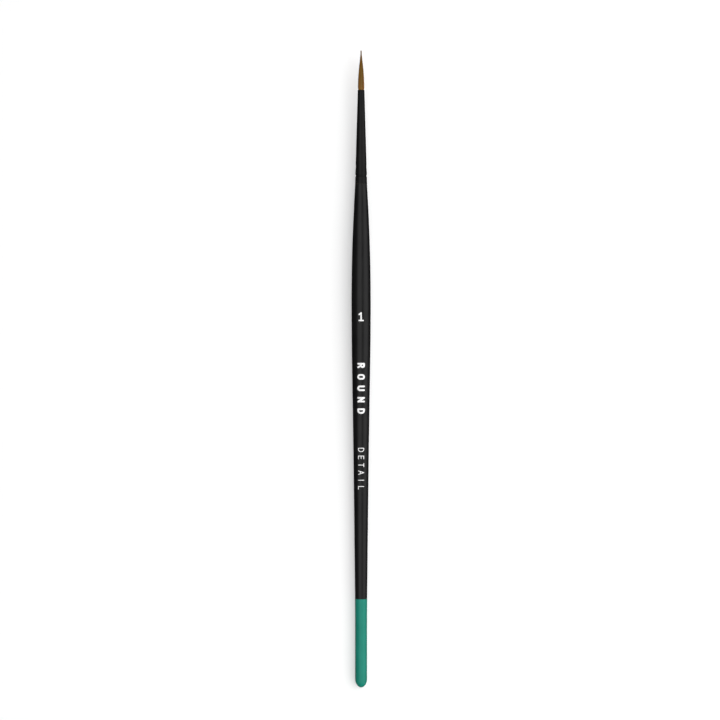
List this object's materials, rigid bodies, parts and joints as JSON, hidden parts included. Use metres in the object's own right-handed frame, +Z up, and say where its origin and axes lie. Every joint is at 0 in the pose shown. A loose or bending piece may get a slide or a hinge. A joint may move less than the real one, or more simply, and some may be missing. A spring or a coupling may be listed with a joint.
{
  "type": "fine detail brush",
  "caption": "Slim round paint brush: turned lacquered handle with dipped tail, crimped taper ferrule and a pointed hair tuft that flexes.",
  "frame": {"origin": "middle of the overall length, on the surface that the belly of the handle lies on", "axes": "+X along the brush towards the hair's point, +Z up through the printed side"},
  "size_m": [0.185, 0.0056, 0.0056],
  "materials": {
    "hardwood": "satin",
    "black_lacquer": "satin",
    "dip_coat": "gloss",
    "black_ferrule": "satin",
    "glue": "satin",
    "resin": "gloss",
    "thread": "matte",
    "brown_hair": "satin",
    "white_ink": "matte"
  },
  "bodies": {
    "handle": {"handle_core": "hardwood", "black_lacquer": "black_lacquer", "dipped_end": "dip_coat", "ferrule": "black_ferrule", "handle_glue": "glue", "resin_plug": "resin", "binding_thread": "thread", "tuft_roots": "brown_hair", "size_numeral": "white_ink", "type_word": "white_ink", "detail_word": "white_ink"},
    "tuft_heel": {"tuft_heel": "brown_hair"},
    "tuft_belly": {"tuft_belly": "brown_hair"},
    "tuft_taper": {"tuft_taper": "brown_hair"},
    "tuft_point": {"tuft_point": "brown_hair"}
  },
  "joints": [
    {"name": "heel_side_bend", "type": "hinge", "parent": "handle", "child": "tuft_heel", "pos_m": [0.08224, 0, 0.00279], "axis": [0, 0, 1], "range_deg": [-20, 20], "stiffness_Nm_per_rad": 0.0003},
    {"name": "belly_up_bend", "type": "hinge", "parent": "tuft_heel", "child": "tuft_belly", "pos_m": [0.08434, 0, 0.00279], "axis": [0, 1, 0], "range_deg": [-15, 15], "stiffness_Nm_per_rad": 0.0002},
    {"name": "taper_side_bend", "type": "hinge", "parent": "tuft_belly", "child": "tuft_taper", "pos_m": [0.08624, 0, 0.00279], "axis": [0, 0, 1], "range_deg": [-24, 24], "stiffness_Nm_per_rad": 0.0000005},
    {"name": "point_up_bend", "type": "hinge", "parent": "tuft_taper", "child": "tuft_point", "pos_m": [0.08804, 0, 0.00279], "axis": [0, 1, 0], "range_deg": [-18, 18], "stiffness_Nm_per_rad": 0.0000005}
  ],
  "couplings": [
    {"joint": "taper_side_bend", "follows": "heel_side_bend", "ratio": 1.2},
    {"joint": "point_up_bend", "follows": "belly_up_bend", "ratio": 1.2}
  ]
}
